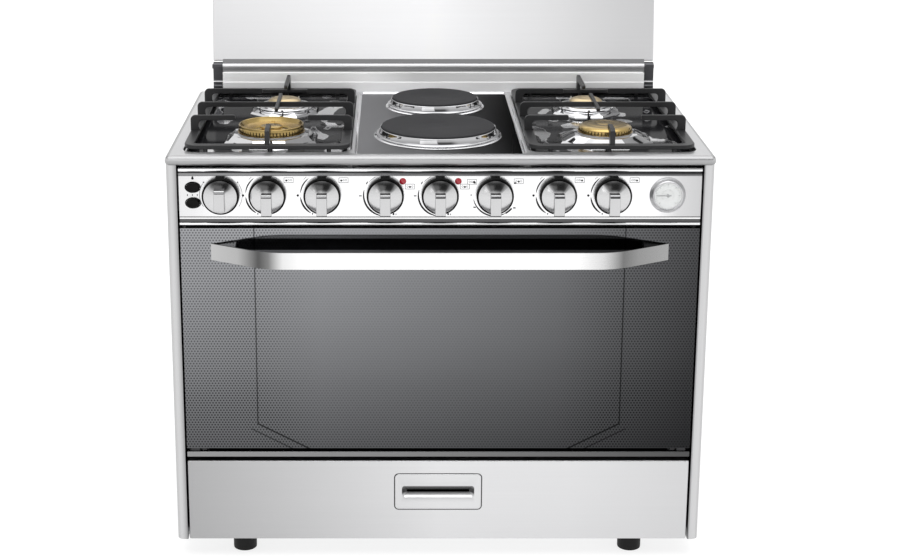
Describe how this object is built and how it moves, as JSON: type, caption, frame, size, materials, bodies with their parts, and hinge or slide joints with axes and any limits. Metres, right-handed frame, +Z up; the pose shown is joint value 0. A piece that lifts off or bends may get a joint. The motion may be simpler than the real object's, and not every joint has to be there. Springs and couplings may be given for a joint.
{
  "type": "dual fuel range cooker",
  "caption": "Wide free-standing steel range cooker with gas burners, electric hotplates, a folding lid, a drop-down oven door and a storage drawer below",
  "frame": {"origin": "on the floor under the middle of the whole cooker with its lid open", "axes": "+Z up, +Y to the back, +X to the right as seen from the front"},
  "size_m": [1, 0.7394, 1.427],
  "materials": {
    "satin_steel": "satin",
    "polished_steel": "polished",
    "dial_steel": "satin bezel with a white dial",
    "knob_chrome": "polished",
    "zinc_steel": "galvanised",
    "pipe_steel": "plain",
    "heater_steel": "oxidised",
    "wire_chrome": "plated",
    "grey_enamel": "silver grey enamel",
    "oven_enamel": "gloss black enamel",
    "black_enamel": "satin black enamel",
    "block_metal": "dark grey",
    "hotplate_iron": "fine turned face",
    "cast_aluminium": "as cast",
    "handle_metal": "satin",
    "burner_brass": "turned",
    "tap_brass": "plain",
    "black_plastic": "gloss",
    "switch_plastic": "matte",
    "pointer_black": "matte",
    "white_ceramic": "glazed",
    "red_lens": "clear red",
    "mirror_glass": "reflective with a dark dot print",
    "clear_glass": "clear",
    "lamp_glass": "frosted",
    "seal_rubber": "matte",
    "mineral_wool": "loose"
  },
  "bodies": {
    "cabinet": {"side_panels": "grey_enamel", "corner_posts": "polished_steel", "back_panel": "zinc_steel", "back_screws": "zinc_steel", "base_frame": "zinc_steel", "levelling_feet": "black_plastic", "hob_top": "satin_steel", "burner_bodies": "cast_aluminium", "spark_electrodes": "white_ceramic", "hotplates": "hotplate_iron", "hotplate_rings": "polished_steel", "control_panel": "satin_steel", "knob_skirts": "black_plastic", "indicator_lamps": "red_lens", "thermometer_case": "dial_steel", "thermometer_glass": "clear_glass", "tap_rail": "zinc_steel", "gas_taps": "tap_brass", "electric_switches": "switch_plastic", "gas_pipework": "pipe_steel", "oven_front_frame": "oven_enamel", "oven_cavity": "oven_enamel", "oven_insulation": "mineral_wool", "oven_floor_plate": "oven_enamel", "oven_heaters": "heater_steel", "oven_lamp": "lamp_glass", "shelf_racks": "wire_chrome", "door_seal": "seal_rubber", "lid_hinge_blocks": "block_metal", "rear_upstand": "satin_steel", "terminal_box": "switch_plastic"},
    "lid": {"lid_panel": "satin_steel", "lid_rail": "satin_steel"},
    "door": {"door_outer_glass": "mirror_glass", "door_frame": "oven_enamel", "door_inner_glass": "clear_glass", "door_bottom_trim": "satin_steel", "door_handle": "handle_metal", "door_hinges": "zinc_steel"},
    "drawer": {"drawer_front": "satin_steel", "drawer_pull": "satin_steel", "drawer_box": "zinc_steel"},
    "shelf": {"oven_shelf": "wire_chrome"},
    "pointer": {"thermometer_pointer": "pointer_black"},
    "ignition_button": {"upper_button": "black_plastic"},
    "light_button": {"lower_button": "black_plastic"},
    "left_support": {"left_pan_support": "black_enamel"},
    "right_support": {"right_pan_support": "black_enamel"},
    "left_front_burner": {"left_front_crown": "burner_brass"},
    "right_front_burner": {"right_front_crown": "burner_brass"},
    "left_rear_burner": {"left_rear_crown": "burner_brass"},
    "right_rear_burner": {"right_rear_crown": "burner_brass"},
    "knob_body_1": {"knob_1": "knob_chrome"},
    "knob_body_2": {"knob_2": "knob_chrome"},
    "knob_body_3": {"knob_3": "knob_chrome"},
    "knob_body_4": {"knob_4": "knob_chrome"},
    "knob_body_5": {"knob_5": "knob_chrome"},
    "knob_body_6": {"knob_6": "knob_chrome"},
    "knob_body_7": {"knob_7": "knob_chrome"},
    "knob_body_8": {"knob_8": "knob_chrome"}
  },
  "joints": [
    {"name": "lid_hinge", "type": "hinge", "parent": "cabinet", "child": "lid", "pos_m": [0, 0.28332, 0.847], "axis": [-1, 0, 0], "range_deg": [-98, 0]},
    {"name": "door_hinge", "type": "hinge", "parent": "cabinet", "child": "door", "pos_m": [0, -0.29568, 0.2183], "axis": [1, 0, 0], "range_deg": [0, 90]},
    {"name": "drawer_slide", "type": "slide", "parent": "cabinet", "child": "drawer", "axis": [0, -1, 0], "range_m": [0, 0.34]},
    {"name": "shelf_slide", "type": "slide", "parent": "cabinet", "child": "shelf", "axis": [0, -1, 0], "range_m": [0, 0.035]},
    {"name": "pointer_turn", "type": "hinge", "parent": "cabinet", "child": "pointer", "pos_m": [0.415, -0.30768, 0.72], "axis": [0, 1, 0], "range_deg": [0, 270]},
    {"name": "ignition_press", "type": "slide", "parent": "cabinet", "child": "ignition_button", "axis": [0, 1, 0], "range_m": [0, 0.004], "stiffness_N_per_m": 400},
    {"name": "light_press", "type": "slide", "parent": "cabinet", "child": "light_button", "axis": [0, 1, 0], "range_m": [0, 0.004], "stiffness_N_per_m": 400},
    {"name": "left_support_lift", "type": "slide", "parent": "cabinet", "child": "left_support", "axis": [0, 0, 1], "range_m": [0, 0.09]},
    {"name": "right_support_lift", "type": "slide", "parent": "cabinet", "child": "right_support", "axis": [0, 0, 1], "range_m": [0, 0.09]},
    {"name": "left_front_crown_lift", "type": "slide", "parent": "cabinet", "child": "left_front_burner", "axis": [0, 0, 1], "range_m": [0, 0.06]},
    {"name": "right_front_crown_lift", "type": "slide", "parent": "cabinet", "child": "right_front_burner", "axis": [0, 0, 1], "range_m": [0, 0.06]},
    {"name": "left_rear_crown_lift", "type": "slide", "parent": "cabinet", "child": "left_rear_burner", "axis": [0, 0, 1], "range_m": [0, 0.06]},
    {"name": "right_rear_crown_lift", "type": "slide", "parent": "cabinet", "child": "right_rear_burner", "axis": [0, 0, 1], "range_m": [0, 0.06]},
    {"name": "knob_1_turn", "type": "hinge", "parent": "cabinet", "child": "knob_body_1", "pos_m": [-0.4, -0.30768, 0.72], "axis": [0, -1, 0], "range_deg": [0, 210]},
    {"name": "knob_2_turn", "type": "hinge", "parent": "cabinet", "child": "knob_body_2", "pos_m": [-0.315, -0.30768, 0.72], "axis": [0, -1, 0], "range_deg": [0, 210]},
    {"name": "knob_3_turn", "type": "hinge", "parent": "cabinet", "child": "knob_body_3", "pos_m": [-0.215, -0.30768, 0.72], "axis": [0, -1, 0], "range_deg": [0, 210]},
    {"name": "knob_4_turn", "type": "hinge", "parent": "cabinet", "child": "knob_body_4", "pos_m": [-0.1, -0.30768, 0.72], "axis": [0, -1, 0], "continuous": true},
    {"name": "knob_5_turn", "type": "hinge", "parent": "cabinet", "child": "knob_body_5", "pos_m": [0, -0.30768, 0.72], "axis": [0, -1, 0], "continuous": true},
    {"name": "knob_6_turn", "type": "hinge", "parent": "cabinet", "child": "knob_body_6", "pos_m": [0.1, -0.30768, 0.72], "axis": [0, -1, 0], "range_deg": [-270, 0]},
    {"name": "knob_7_turn", "type": "hinge", "parent": "cabinet", "child": "knob_body_7", "pos_m": [0.215, -0.30768, 0.72], "axis": [0, -1, 0], "range_deg": [0, 210]},
    {"name": "knob_8_turn", "type": "hinge", "parent": "cabinet", "child": "knob_body_8", "pos_m": [0.315, -0.30768, 0.72], "axis": [0, -1, 0], "range_deg": [0, 210]}
  ]
}
